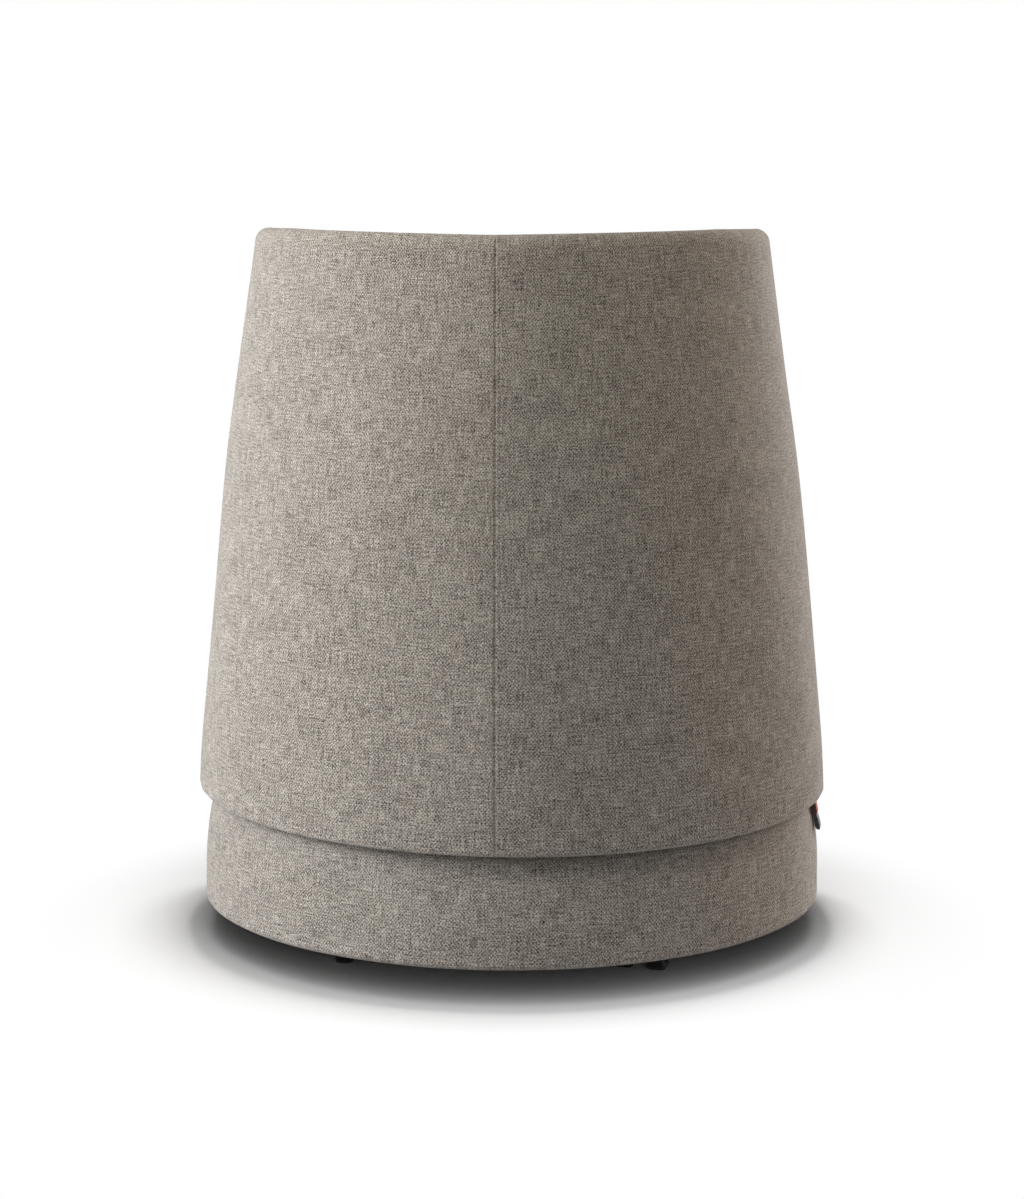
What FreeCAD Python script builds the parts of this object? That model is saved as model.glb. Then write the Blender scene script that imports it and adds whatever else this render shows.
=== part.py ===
import FreeCAD, Part
import math
import os

# A round upholstered pouf on castors, with a wrap-around back rest.
# Millimetres. The floor is z = 0, the seat faces -Y and the back rest stands at +Y.

# Drum, the round body of the pouf
drum_radius = 305.5  # outside of the cover at the straight foot
drum_bottom = 34.0  # gap between the floor and the cover
drum_shoulder = 82.0  # height where the straight foot turns into the taper
drum_edge_cut = 5.0
drum_taper = 0.13  # radius lost per millimetre of height
drum_padding = 8.0  # cloth and foam at the seat rim, their thinnest place
skirt_thickness = 17.0  # cloth and foam round the base board
seat_rim = 420.0  # seam between the side and the seat

# Frame inside the drum
base_thickness = 18.0
deck_thickness = 15.0
post_count = 12
post_width = 40.0
post_thickness = 18.0

# Seat cushion
seat_foam_height = 48.0
seat_shoulder_width = 18.0
seat_shoulder_height = 13.0
seat_crown_height = 25.0  # above the shoulder, at the middle of the full curve
crown_flat_radius = 115.0  # inside it the seat is flat

# Back rest, outside
hem_height = 141.0  # lowest point of the back rest
hem_cut = 5.0
hem_shoulder_rise = 35.0  # hem to the height where the skirt turns into the taper
hem_thickness = 12.7  # back rest below its shoulder, over the drum's taper at the hem
back_lower_taper = 0.1075
knee_rise = 50.0  # seat rim to the change of slope
back_upper_taper = 0.1385
back_rise = 275.5  # seat rim to the top of the back rest
rim_thickness = 36.0
rim_outer_cut = 11.0

# Back rest, inner pad and front edges
pad_thickness = 17.0  # at the rim
pad_rim_cut = 15.0
pad_lower_cut = 12.0
pad_seat_gap = 1.0
front_edge_top = 6.0  # how far in front of the middle the edge ends at the top
front_edge_foot = 130.0  # the same at the hem
front_top_round = 34.0
front_foot_round = 60.0
front_overshoot = 4.0

# Slats that stiffen the back rest, each in line with a post of the drum
slat_count = 6  # half of them on each side of the middle
slat_width = 55.0
slat_thickness = 7.0
slat_hem_gap = 15.0
slat_rim_gap = 36.0

# Castors
castor_count = 5
castor_inset = 81.5  # from the drum's outside to the swivel axis
castor_headings = (4.0, 9.0, -6.0, -8.0, -13.0)  # where each castor trails at rest
castor_trail = 14.0
wheel_radius = 20.0
wheel_width = 17.0
wheel_spacing = 15.0  # between the two inner faces
wheel_side_play = 0.5
axle_radius = 2.5
running_clearance = 0.05
bracket_foot = 8.0  # from the axle to the bracket's lower faces
boss_reach = 9.0  # from the swivel axis to the ends of the bracket's head
boss_height = 12.0  # above the top of the wheels
boss_depth = 24.0
swivel_gap = 0.3
pin_radius = 4.0
pin_depth = 14.0  # below the top of the bracket
plate_size = 36.0
plate_thickness = 1.7

# Pull tab under the hem
tab_angle = 84.0  # from straight behind, towards the right-hand side
tab_width = 14.0
tab_length = 43.0
tab_tilt = 6.0
tongue_thickness = 3.2
tongue_tip_thickness = 2.0
tongue_tip_round = 5.0
ribbon_thickness = 1.1
ribbon_length = 26.0
tab_drum_gap = 0.3
tab_sewn_in = 8.0  # length that is trimmed to the hem

# Heights and radii that follow from the sizes above
boss_top = 2 * wheel_radius + boss_height
castor_top = boss_top + swivel_gap + plate_thickness
base_top = castor_top + base_thickness
deck_top = seat_rim - seat_foam_height
deck_bottom = deck_top - deck_thickness
skirt_radius = drum_radius - skirt_thickness
castor_circle = drum_radius - castor_inset
back_top = seat_rim + back_rise
knee_height = seat_rim + knee_rise
hem_shoulder = hem_height + hem_shoulder_rise
far = 2 * drum_radius
up = FreeCAD.Vector(0, 0, 1)
origin = FreeCAD.Vector(0, 0, 0)
nodes = {}


def drum_side(height):
    """Radius of the drum's side: a straight foot and a taper above it."""
    return drum_radius - drum_taper * max(0.0, height - drum_shoulder)


def back_side(height):
    """Radius of the back rest's outside, with a steeper slope above the knee."""
    lower = drum_side(hem_height) + hem_thickness
    lower -= back_lower_taper * max(0.0, min(height, knee_height) - hem_shoulder)
    return lower - back_upper_taper * max(0.0, height - knee_height)


def seat_surface(radius):
    """Height of the crowned seat at a distance from the middle."""
    reach = drum_side(seat_rim) - seat_shoulder_width
    ball = (reach ** 2 + seat_crown_height ** 2) / (2 * seat_crown_height)
    middle = seat_rim + seat_shoulder_height + seat_crown_height
    return middle - ball + math.sqrt(ball ** 2 - radius ** 2)


wall_radius = drum_side(seat_rim) - drum_padding
pad_radius = back_side(back_top) - rim_thickness + pad_thickness
pad_bottom = seat_surface(pad_radius - pad_thickness) + pad_seat_gap


# Outlines and solids

def cut_corners(corners):
    """Outline from corners (across, up, cut), each cut off straight at that distance."""
    outline = []
    for index, (across, height, cut) in enumerate(corners):
        if not cut:
            outline.append((across, height))
            continue
        for neighbour in (corners[index - 1], corners[(index + 1) % len(corners)]):
            length = math.hypot(neighbour[0] - across, neighbour[1] - height)
            share = min(cut / length, 0.45)
            outline.append((across + share * (neighbour[0] - across), height + share * (neighbour[1] - height)))
    return outline


def turned(outline):
    """Full turn of a radius and height outline about the middle axis."""
    points = [FreeCAD.Vector(0, -radius, height) for radius, height in outline]
    return Part.Face(Part.makePolygon(points + points[:1])).revolve(origin, up, 360)


def disc(radius, bottom, top):
    """Round plate on the middle axis."""
    return Part.makeCylinder(radius, top - bottom, FreeCAD.Vector(0, 0, bottom))


def post_angle(index):
    """Direction of a post of the drum, from straight behind towards the left."""
    return 360.0 / post_count * (index - 0.5)


# Drum

def make_drum_cover():
    """Side of the drum: cloth over foam that fills the taper round the frame."""
    return turned(cut_corners([
        (skirt_radius, drum_bottom, 0),
        (drum_radius, drum_bottom, drum_edge_cut),
        (drum_radius, drum_shoulder, 0),
        (drum_side(seat_rim), seat_rim, 0),
        (wall_radius, seat_rim, 0),
        (wall_radius, base_top, 0),
        (skirt_radius, base_top, 0),
    ]))


def make_posts():
    """Battens between the base board and the deck, just inside the padded side."""
    reach = math.sqrt(wall_radius ** 2 - (post_width / 2) ** 2)
    posts = []
    for index in range(post_count):
        corner = FreeCAD.Vector(-post_width / 2, reach - post_thickness, base_top)
        post = Part.makeBox(post_width, post_thickness, deck_bottom - base_top, corner)
        post.rotate(origin, up, -post_angle(index))
        posts.append(post)
    return Part.makeCompound(posts)


def make_seat_cover():
    """Crowned seat panel with its wadding, drawn in to the seam round its edge."""
    seam = drum_side(seat_rim)
    top = seat_surface(crown_flat_radius)
    return turned([
        (0, seat_rim),
        (seam, seat_rim),
        (seam - seat_shoulder_width, seat_rim + seat_shoulder_height),
        (crown_flat_radius, top),
        (0, top),
    ])


def add_drum():
    nodes["base_board"] = disc(skirt_radius, castor_top, base_top)
    nodes["drum_posts"] = make_posts()
    nodes["seat_deck"] = disc(wall_radius, deck_bottom, deck_top)
    nodes["drum_cover"] = make_drum_cover()
    nodes["seat_foam"] = disc(wall_radius, deck_top, seat_rim)
    nodes["seat_cover"] = make_seat_cover()


# Back rest

def panel_outline():
    """Section of the outer panels, from the inner hem edge round the outside."""
    hem_radius = back_side(hem_shoulder)
    return cut_corners([
        (drum_side(hem_height), hem_height, 0),
        (hem_radius, hem_height, hem_cut),
        (hem_radius, hem_shoulder, 0),
        (back_side(knee_height), knee_height, 0),
        (back_side(back_top), back_top, rim_outer_cut),
        (pad_radius, back_top, 0),
        (pad_radius, pad_bottom, 0),
        (drum_side(pad_bottom), pad_bottom, 0),
    ])


def pad_outline():
    """Section of the inner pad, rounded off towards the seat and the rim."""
    face_radius = pad_radius - pad_thickness
    return cut_corners([
        (face_radius, pad_bottom, pad_lower_cut),
        (pad_radius, pad_bottom, 0),
        (pad_radius, back_top, 0),
        (face_radius, back_top, pad_rim_cut),
    ])


def front_prism():
    """Everything behind the sloping front edges of the back rest, as seen from the side."""
    low = hem_height - front_overshoot
    high = back_top + front_overshoot
    foot = FreeCAD.Vector(-far, -front_edge_foot, low)
    head = FreeCAD.Vector(-far, -front_edge_top, high)
    points = [foot, FreeCAD.Vector(-far, far, low), FreeCAD.Vector(-far, far, high), head]
    block = Part.Face(Part.makePolygon(points + points[:1])).extrude(FreeCAD.Vector(2 * far, 0, 0))
    for corner, size in ((foot, front_foot_round), (head, front_top_round)):
        edges = [edge for edge in block.Edges if is_across(edge, corner)]
        block = block.makeFillet(size, edges)
    return block


def is_across(edge, corner):
    """True for the edge that runs from one side to the other through a corner."""
    return all(abs(vertex.Y - corner.y) < 0.01 and abs(vertex.Z - corner.z) < 0.01 for vertex in edge.Vertexes)


def half_space(side):
    """Block that holds everything to the left (+1) or the right (-1) of the middle."""
    corner = FreeCAD.Vector(0 if side > 0 else -far, -far, 0)
    return Part.makeBox(far, 2 * far, 2 * far, corner)


def make_slats():
    """Flat boards along the drum's taper, carried on above the seat."""
    bottom = hem_height + slat_hem_gap
    lean = math.degrees(math.atan(drum_taper))
    length = (back_top - slat_rim_gap - bottom) / math.cos(math.radians(lean))
    slats = []
    for step in range(1 - slat_count // 2, slat_count // 2 + 1):
        slat = Part.makeBox(slat_width, slat_thickness, length, FreeCAD.Vector(-slat_width / 2, 0, 0))
        slat.rotate(origin, FreeCAD.Vector(1, 0, 0), lean)
        slat.translate(FreeCAD.Vector(0, drum_side(bottom), bottom))
        slat.rotate(origin, up, -post_angle(step))
        slats.append(slat)
    return Part.makeCompound(slats)


def add_back_rest():
    front = front_prism()
    slats = make_slats()
    panels = turned(panel_outline()).common(front).cut(slats)
    nodes["back_slats"] = slats
    nodes["back_panel_left"] = panels.common(half_space(1))
    nodes["back_panel_right"] = panels.common(half_space(-1))
    nodes["back_inner_pad"] = turned(pad_outline()).common(front)


# Castors

def castor_places():
    """Swivel axis on the floor and the trailing direction of each castor, rear left first."""
    step = 2 * math.pi / castor_count
    places = []
    for index, heading in enumerate(castor_headings):
        angle = step * (index + 0.5)
        places.append((FreeCAD.Vector(math.sin(angle), math.cos(angle), 0) * castor_circle, heading))
    return places


def make_wheel(side):
    """One wheel and its stub axle along X, at the origin."""
    inner = wheel_spacing / 2
    section = [
        (wheel_side_play / 2, 0),
        (wheel_side_play / 2, axle_radius),
        (inner, axle_radius),
        (inner, wheel_radius),
        (inner + wheel_width, wheel_radius),
        (inner + wheel_width, 0),
    ]
    points = [FreeCAD.Vector(side * across, 0, height) for across, height in section]
    return Part.Face(Part.makePolygon(points + points[:1])).revolve(origin, FreeCAD.Vector(1, 0, 0), 360)


def make_castor_bracket():
    """Body between the two wheels, from the axle up to the head that turns on the pin."""
    width = wheel_spacing - 2 * wheel_side_play
    top = boss_top - wheel_radius
    front = castor_trail + boss_reach
    rear = castor_trail - boss_reach
    foot = bracket_foot
    section = [
        (-foot, -foot / 2),
        (-foot / 2, -foot),
        (foot / 2, -foot),
        (front, top - boss_depth),
        (front, top),
        (rear, top),
        (-foot, foot),
    ]
    points = [FreeCAD.Vector(-width / 2, along, height) for along, height in section]
    body = Part.Face(Part.makePolygon(points + points[:1])).extrude(FreeCAD.Vector(width, 0, 0))
    pin_start = FreeCAD.Vector(0, castor_trail, top - pin_depth - swivel_gap)
    pin_hole = Part.makeCylinder(pin_radius + running_clearance, pin_depth + 2 * swivel_gap, pin_start)
    across = FreeCAD.Vector(1, 0, 0)
    axle_start = FreeCAD.Vector(-width, 0, 0)
    axle_hole = Part.makeCylinder(axle_radius + running_clearance, 2 * width, axle_start, across)
    return body.cut(pin_hole).cut(axle_hole)


def make_castor_plate():
    """Square plate under the base board, with the pin that the castor turns on."""
    corner = FreeCAD.Vector(-plate_size / 2, -plate_size / 2, castor_top - plate_thickness)
    plate = Part.makeBox(plate_size, plate_size, plate_thickness, corner)
    return plate.fuse(disc(pin_radius, boss_top - pin_depth, castor_top - plate_thickness / 2))


def add_castors():
    names = ("rear_left", "side_left", "front", "side_right", "rear_right")
    plates = []
    axle_place = FreeCAD.Vector(0, -castor_trail, wheel_radius)
    for name, (place, heading) in zip(names, castor_places()):
        pieces = {
            "bracket": make_castor_bracket(),
            "wheel_left": make_wheel(1),
            "wheel_right": make_wheel(-1),
        }
        for piece, shape in pieces.items():
            shape.translate(axle_place)
            shape.rotate(origin, up, heading)
            shape.translate(place)
            nodes[name + "_castor_" + piece] = shape
        plate = make_castor_plate()
        plate.translate(place)
        plates.append(plate)
    nodes["castor_plates"] = Part.makeCompound(plates)


# Pull tab

def make_tab_piece(section):
    """Upright strip from a section seen along the hem, standing at the origin."""
    points = [FreeCAD.Vector(out, -tab_width / 2, height) for out, height in section]
    return Part.Face(Part.makePolygon(points + points[:1])).extrude(FreeCAD.Vector(0, tab_width, 0))


def hang_tab(shape):
    """Tilts a piece of the tab outwards and hangs it under the hem."""
    inside = drum_side(hem_height) + tab_drum_gap + ribbon_thickness
    shape.rotate(origin, FreeCAD.Vector(0, 1, 0), -tab_tilt)
    shape.translate(FreeCAD.Vector(inside, 0, hem_height))
    shape.rotate(origin, up, 90 + tab_angle)
    return shape


def add_pull_tab():
    """Flat tongue held in a folded ribbon, whose ends are sewn to the hem."""
    thick = tongue_thickness
    tip = tongue_tip_thickness
    inset = (thick - tip) / 2
    tongue = make_tab_piece([(0, 0), (inset, -tab_length), (inset + tip, -tab_length), (thick, 0)])
    tip_edges = [edge for edge in tongue.Edges if is_tip_corner(edge)]
    tongue = tongue.makeFillet(min(tongue_tip_round, 0.45 * tab_width), tip_edges)
    ribbon = make_tab_piece([
        (-ribbon_thickness, tab_sewn_in),
        (-ribbon_thickness, -ribbon_length),
        (thick + ribbon_thickness, -ribbon_length),
        (thick + ribbon_thickness, tab_sewn_in),
    ])
    tongue = hang_tab(tongue)
    hem = nodes["back_panel_right"].fuse(nodes["drum_cover"])
    nodes["pull_tab_ribbon"] = hang_tab(ribbon).cut(tongue).cut(hem)
    nodes["pull_tab_tongue"] = tongue.cut(hem)


def is_tip_corner(edge):
    """True for the two short edges through the thickness at the tab's lower end."""
    low = all(abs(vertex.Z + tab_length) < 0.01 for vertex in edge.Vertexes)
    return low and abs(edge.Vertexes[0].Y - edge.Vertexes[-1].Y) < 0.01


def main():
    add_drum()
    add_back_rest()
    add_castors()
    add_pull_tab()
    os.makedirs("parts", exist_ok=True)
    for name, shape in nodes.items():
        shape.exportStep("parts/" + name + ".step")


main()
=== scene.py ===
import math

import bmesh
import bpy
import numpy as np
from mathutils import Matrix, Vector


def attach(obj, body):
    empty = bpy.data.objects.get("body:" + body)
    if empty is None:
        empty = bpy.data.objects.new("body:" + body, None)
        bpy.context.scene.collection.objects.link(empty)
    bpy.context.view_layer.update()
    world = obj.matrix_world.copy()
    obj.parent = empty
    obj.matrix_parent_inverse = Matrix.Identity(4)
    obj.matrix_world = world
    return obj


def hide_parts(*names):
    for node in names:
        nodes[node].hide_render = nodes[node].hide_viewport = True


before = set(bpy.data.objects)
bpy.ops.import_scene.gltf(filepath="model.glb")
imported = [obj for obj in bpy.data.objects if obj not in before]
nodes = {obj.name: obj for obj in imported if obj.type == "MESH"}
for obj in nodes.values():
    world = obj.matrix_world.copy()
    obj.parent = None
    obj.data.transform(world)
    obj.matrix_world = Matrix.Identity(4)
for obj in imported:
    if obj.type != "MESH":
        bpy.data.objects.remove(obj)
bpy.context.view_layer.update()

rootBody = "pouf"
print("frame loaded:", len(nodes), "CAD nodes")


# Shader tools

class Wire:
    # a socket that can be used in sums
    def __init__(self, socket):
        self.socket = socket
        self.tree = socket.id_data

    def calc(self, operation, first, second=None):
        node = self.tree.nodes.new("ShaderNodeMath")
        node.operation = operation
        for slot, value in zip(node.inputs, (first, second)):
            plug(slot, value)
        return Wire(node.outputs[0])

    def __add__(self, other):
        return self.calc("ADD", self, other)

    def __radd__(self, other):
        return self.calc("ADD", other, self)

    def __sub__(self, other):
        return self.calc("SUBTRACT", self, other)

    def __rsub__(self, other):
        return self.calc("SUBTRACT", other, self)

    def __mul__(self, other):
        return self.calc("MULTIPLY", self, other)

    def __rmul__(self, other):
        return self.calc("MULTIPLY", other, self)

    def sine(self):
        return self.calc("SINE", self)

    def size(self):
        return self.calc("ABSOLUTE", self)


def plug(slot, value):
    if value is None:
        return
    if isinstance(value, Wire):
        slot.id_data.links.new(value.socket, slot)
    else:
        slot.default_value = value


class Finish:
    # a material with one Principled shader, built up node by node
    def __init__(self, name):
        self.material = bpy.data.materials.new(name)
        self.material.use_nodes = True
        self.tree = self.material.node_tree
        self.skin = self.tree.nodes["Principled BSDF"]

    def add(self, kind, settings=None, sockets=None, output=0):
        node = self.tree.nodes.new(kind)
        for key, value in (settings or {}).items():
            setattr(node, key, value)
        for key, value in (sockets or {}).items():
            plug(node.inputs[key], value)
        return Wire(node.outputs[output])

    def ramp(self, value, stops):
        wire = self.add("ShaderNodeValToRGB", sockets={0: value})
        elements = wire.socket.node.color_ramp.elements
        while len(elements) < len(stops):
            elements.new(0.5)
        for element, (place, colour) in zip(elements, stops):
            element.position = place
            element.color = colour
        return wire

    def noise(self, vector, scale, detail=2.0, roughness=0.5):
        return self.add("ShaderNodeTexNoise", sockets={
            "Vector": vector, "Scale": scale, "Detail": detail, "Roughness": roughness})

    def stretched(self, vector, across, along):
        # the same vector with its two directions counted in other lengths
        return self.add("ShaderNodeMapping", {"vector_type": "POINT"}, {
            "Vector": vector, "Scale": (1 / across, 1 / along, 1.0)})

    def mix(self, share, first, second, blend="MIX"):
        return self.add("ShaderNodeMix", {"data_type": "RGBA", "blend_type": blend}, {
            0: share, 6: first, 7: second}, output=2)

    def step(self, value, low, high):
        return self.add("ShaderNodeMapRange", {"interpolation_type": "SMOOTHSTEP", "clamp": True}, {
            "Value": value, "From Min": low, "From Max": high})

    def bump(self, height, distance, strength):
        return self.add("ShaderNodeBump", sockets={
            "Height": height, "Distance": distance, "Strength": strength})

    def set(self, **sockets):
        for key, value in sockets.items():
            plug(self.skin.inputs[key.replace("_", " ")], value)
        return self.material


def srgb(red, green, blue):
    # a colour as seen on screen, 0 to 255, for a socket
    def linear(level):
        level /= 255
        return level / 12.92 if level < 0.04045 else ((level + 0.055) / 1.055) ** 2.4
    return (linear(red), linear(green), linear(blue), 1.0)


# Grey cloth: a plain weave of mottled yarns

cloth = {
    "warpPitch": 0.00157,   # one yarn to the next
    "weftPitch": 0.00200,
    "weftRun": 0.017,       # a yarn keeps its tone for about this length
    "warpRun": 0.024,
    "yarnWidth": 0.8,       # of the pitch
    "driftSize": 0.005,     # the yarns wander over this length
    "driftReach": 0.0030,
    "fleckSize": 0.0015,
    "crossingShare": 0.26,  # what each pattern adds to the tone
    "yarnShare": 0.40,
    "fleckShare": 1.10,
    "cloudShare": 0.10,
    "darken": 1.14,
    "light": srgb(222, 216, 208),
    "middle": srgb(158, 151, 143),
    "dark": srgb(62, 57, 53),
    "contrast": 2.05,
    "relief": 0.0006,
    "rightPanelPaintedShade": 0.92,       # painted shade: the right panel's cloth is darkened throughout, for the step in shade at the seam
    "wrapRadius": 0.29,     # lengths round the axis are counted at this radius
}


def clothFinish(name, shade=1.0):
    f = Finish(name)
    c = cloth
    place = f.add("ShaderNodeUVMap", {"uv_map": "cloth"})
    wander = f.add("ShaderNodeTexNoise", sockets={
        "Vector": place, "Scale": 1 / c["driftSize"], "Detail": 1.0}, output=1)
    wander = f.add("ShaderNodeVectorMath", {"operation": "SUBTRACT"}, {0: wander, 1: (0.5, 0.5, 0.5)})
    drift = f.add("ShaderNodeVectorMath", {"operation": "SCALE"}, {0: wander, "Scale": c["driftReach"]})
    bent = f.add("ShaderNodeVectorMath", {"operation": "ADD"}, {0: place, 1: drift})
    split = f.add("ShaderNodeSeparateXYZ", sockets={0: bent}).socket.node
    acrossTurn = Wire(split.outputs[0]) * (math.pi / c["warpPitch"])
    upTurn = Wire(split.outputs[1]) * (math.pi / c["weftPitch"])
    crossing = acrossTurn.sine() * upTurn.sine() * 0.5 + 0.5           # over and under
    weft = f.noise(f.stretched(bent, c["weftRun"], c["yarnWidth"] * c["weftPitch"]), 1.0, 1.0, 0.6)
    warp = f.noise(f.stretched(bent, c["yarnWidth"] * c["warpPitch"], c["warpRun"]), 1.0, 1.0, 0.6)
    flecks = f.noise(place, 1 / c["fleckSize"], 2.0, 0.7)
    clouds = f.noise(f.stretched(place, 0.06, 0.03), 1.0, 2.0)
    level = crossing * c["crossingShare"] + (weft + warp) * c["yarnShare"]
    level = level + flecks * c["fleckShare"] + clouds * c["cloudShare"] - c["darken"]
    colour = f.ramp(level * c["contrast"] + 0.5, [
        (0.0, c["dark"]),
        (0.5, c["middle"]),
        (1.0, c["light"])])
    # painted shade: the whole cloth colour is multiplied down by this factor
    if shade != 1.0:
        colour = f.mix(1.0, colour, (shade, shade, shade, 1.0), "MULTIPLY")
    height = crossing * 0.5 + (weft + warp) * 0.3 + flecks * 0.7
    return f.set(
        Base_Color=colour,
        Roughness=0.78 + flecks * 0.2,
        Normal=f.bump(height, c["relief"], 0.8),
        Specular_IOR_Level=0.18,
        Sheen_Weight=0.22,
        Sheen_Roughness=0.45)


# Plain finishes of the frame, the castors and the tab

def plywoodFinish():
    f = Finish("plywood")
    place = f.add("ShaderNodeTexCoord", output=3)
    height = f.add("ShaderNodeSeparateXYZ", sockets={0: place}, output=2)
    grain = f.noise(f.stretched(place, 0.004, 0.16), 1.0, 4.0, 0.6)
    figure = f.noise(f.stretched(place, 0.05, 0.5), 1.0, 2.0)
    plies = (height * (2 * math.pi / 0.0056)).sine() * 0.5 + 0.5       # one dark ply every 5.6 mm
    normal = f.add("ShaderNodeNewGeometry", output=1)
    up = f.add("ShaderNodeSeparateXYZ", sockets={0: normal}, output=2)
    edge = 1.0 - f.step(up.size(), 0.3, 0.7)
    level = grain * 0.6 + figure * 0.4 - edge * plies * 0.22
    bare = f.ramp(level, [
        (0.2, srgb(140, 104, 66)),
        (0.5, srgb(192, 156, 110)),
        (0.8, srgb(214, 184, 142))])
    # painted shade for the downward faces, near black
    paintedUnderShade = f.ramp(grain, [
        (0.3, srgb(26, 26, 27)),
        (0.8, srgb(52, 51, 50))])
    colour = f.mix(f.step(up, -0.9, -0.6), paintedUnderShade, bare)  # painted shade: the undersides are coloured near black, to darken the shade under the drum
    return f.set(Base_Color=colour, Roughness=0.55 + grain * 0.25, Normal=f.bump(grain, 0.0004, 0.6))


def zincFinish():
    f = Finish("zinc_plate")
    place = f.add("ShaderNodeTexCoord", output=3)
    spangle = f.add("ShaderNodeTexVoronoi", sockets={"Vector": place, "Scale": 260.0}, output=1)
    tone = f.add("ShaderNodeRGBToBW", sockets={0: spangle})
    brush = f.noise(f.stretched(place, 0.0008, 0.03), 1.0, 2.0)
    colour = f.ramp(tone * 0.6 + brush * 0.4, [
        (0.2, srgb(150, 153, 157)),
        (0.8, srgb(196, 199, 203))])
    relief = f.bump(brush, 0.0001, 0.4)
    return f.set(Base_Color=colour, Metallic=1.0, Roughness=0.3 + brush * 0.2, Normal=relief)


def plasticFinish():
    f = Finish("black_plastic")
    place = f.add("ShaderNodeTexCoord", output=3)
    pits = f.noise(place, 1 / 0.0009, 2.0)
    scuffs = f.noise(f.stretched(place, 0.03, 0.004), 1.0, 3.0, 0.7)
    rubbed = f.step(scuffs, 0.55, 0.75)
    colour = f.ramp(rubbed * 0.5 + pits * 0.3, [
        (0.1, srgb(20, 20, 21)),
        (0.8, srgb(48, 47, 47))])
    roughness = 0.38 + rubbed * 0.2 + pits * 0.1
    return f.set(Base_Color=colour, Roughness=roughness, Normal=f.bump(pits, 0.0001, 0.5))


def ribbonFinish():
    f = Finish("red_ribbon")
    place = f.add("ShaderNodeTexCoord", output=3)
    height = f.add("ShaderNodeSeparateXYZ", sockets={0: place}, output=2)
    ribs = (height * (2 * math.pi / 0.0011)).sine() * 0.5 + 0.5        # one rib every 1.1 mm
    fuzz = f.noise(place, 1 / 0.0012, 2.0)
    colour = f.ramp(ribs * 0.5 + fuzz * 0.5, [
        (0.15, srgb(118, 34, 24)),
        (0.85, srgb(206, 82, 58))])
    return f.set(Base_Color=colour, Roughness=0.7 + fuzz * 0.2, Normal=f.bump(ribs + fuzz * 0.5, 0.0002, 0.7))


def leatherFinish():
    f = Finish("black_leather")
    place = f.add("ShaderNodeTexCoord", output=3)
    cells = f.add("ShaderNodeTexVoronoi", {"feature": "DISTANCE_TO_EDGE"}, {"Vector": place, "Scale": 900.0})
    creases = 1.0 - f.step(cells, 0.0, 0.18)
    tone = f.noise(place, 1 / 0.004, 3.0)
    colour = f.ramp(tone * 0.7 + creases * 0.2, [
        (0.2, srgb(38, 35, 33)),
        (0.8, srgb(72, 67, 63))])
    return f.set(Base_Color=colour, Roughness=0.5 + tone * 0.2, Normal=f.bump(1.0 - creases, 0.00025, 0.6))


greyCloth = clothFinish("grey_cloth")
# the right panel's copy has painted shade: its colour is darkened throughout
greyClothPaintedShade = clothFinish("grey_cloth_painted_shade", cloth["rightPanelPaintedShade"])
plywood = plywoodFinish()
zinc = zincFinish()
plastic = plasticFinish()
ribbonRed = ribbonFinish()
leather = leatherFinish()
print("finishes ready")


# Mesh tools

def deselect():
    if bpy.context.object and bpy.context.object.mode != "OBJECT":
        bpy.ops.object.mode_set(mode="OBJECT")
    bpy.ops.object.select_all(action="DESELECT")


def activate(piece):
    deselect()
    piece.select_set(True)
    bpy.context.view_layer.objects.active = piece


def newPiece(name, points, faces):
    mesh = bpy.data.meshes.new(name)
    mesh.from_pydata(points, [], faces)
    piece = bpy.data.objects.new(name, mesh)
    bpy.context.scene.collection.objects.link(piece)
    return piece


def closeUp(piece):
    # welds what meets and turns every face outwards
    mesh = bmesh.new()
    mesh.from_mesh(piece.data)
    bmesh.ops.remove_doubles(mesh, verts=mesh.verts, dist=1e-5)
    bmesh.ops.dissolve_degenerate(mesh, dist=1e-6, edges=mesh.edges)
    bmesh.ops.recalc_face_normals(mesh, faces=mesh.faces)
    mesh.to_mesh(piece.data)
    mesh.free()


def smooth(piece, angle):
    activate(piece)
    bpy.ops.object.shade_smooth_by_angle(angle=math.radians(angle))


def layCloth(piece, foldRadius=0.0, foldHeight=0.0, flat=False):
    # lays a UV map in metres: flat from above, or round the axis and up, turning in at the fold
    mesh = piece.data
    layer = mesh.uv_layers.new(name="cloth")
    points = np.zeros(len(mesh.vertices) * 3)
    mesh.vertices.foreach_get("co", points)
    points = points.reshape(-1, 3)
    corners = np.zeros(len(mesh.loops), dtype=np.int64)
    mesh.loops.foreach_get("vertex_index", corners)
    if flat:
        spots = points[corners, :2]
    else:
        starts = np.zeros(len(mesh.polygons), dtype=np.int64)
        counts = np.zeros(len(mesh.polygons), dtype=np.int64)
        normals = np.zeros(len(mesh.polygons) * 3)
        mesh.polygons.foreach_get("loop_start", starts)
        mesh.polygons.foreach_get("loop_total", counts)
        mesh.polygons.foreach_get("normal", normals)
        x, y, z = points[corners].T
        radius = np.hypot(x, y)
        turns = np.arctan2(x, y)
        highest = np.repeat(np.maximum.reduceat(turns, starts), counts)
        turns = np.where(highest - turns > math.pi, turns + 2 * math.pi, turns)
        outwards = np.where(z < foldHeight, 1.0, -1.0)
        spots = np.stack([turns * cloth["wrapRadius"], z + outwards * (radius - foldRadius)], axis=1)
        normals = np.repeat(normals.reshape(-1, 3), counts, axis=0)
        alongRound = np.abs(normals[:, 0] * y - normals[:, 1] * x)
        endOn = alongRound > 0.6 * radius                 # faces that look along the round
        spots[endOn] = np.stack([radius, z], axis=1)[endOn]
    layer.data.foreach_set("uv", spots.astype(np.float32).ravel())


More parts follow.
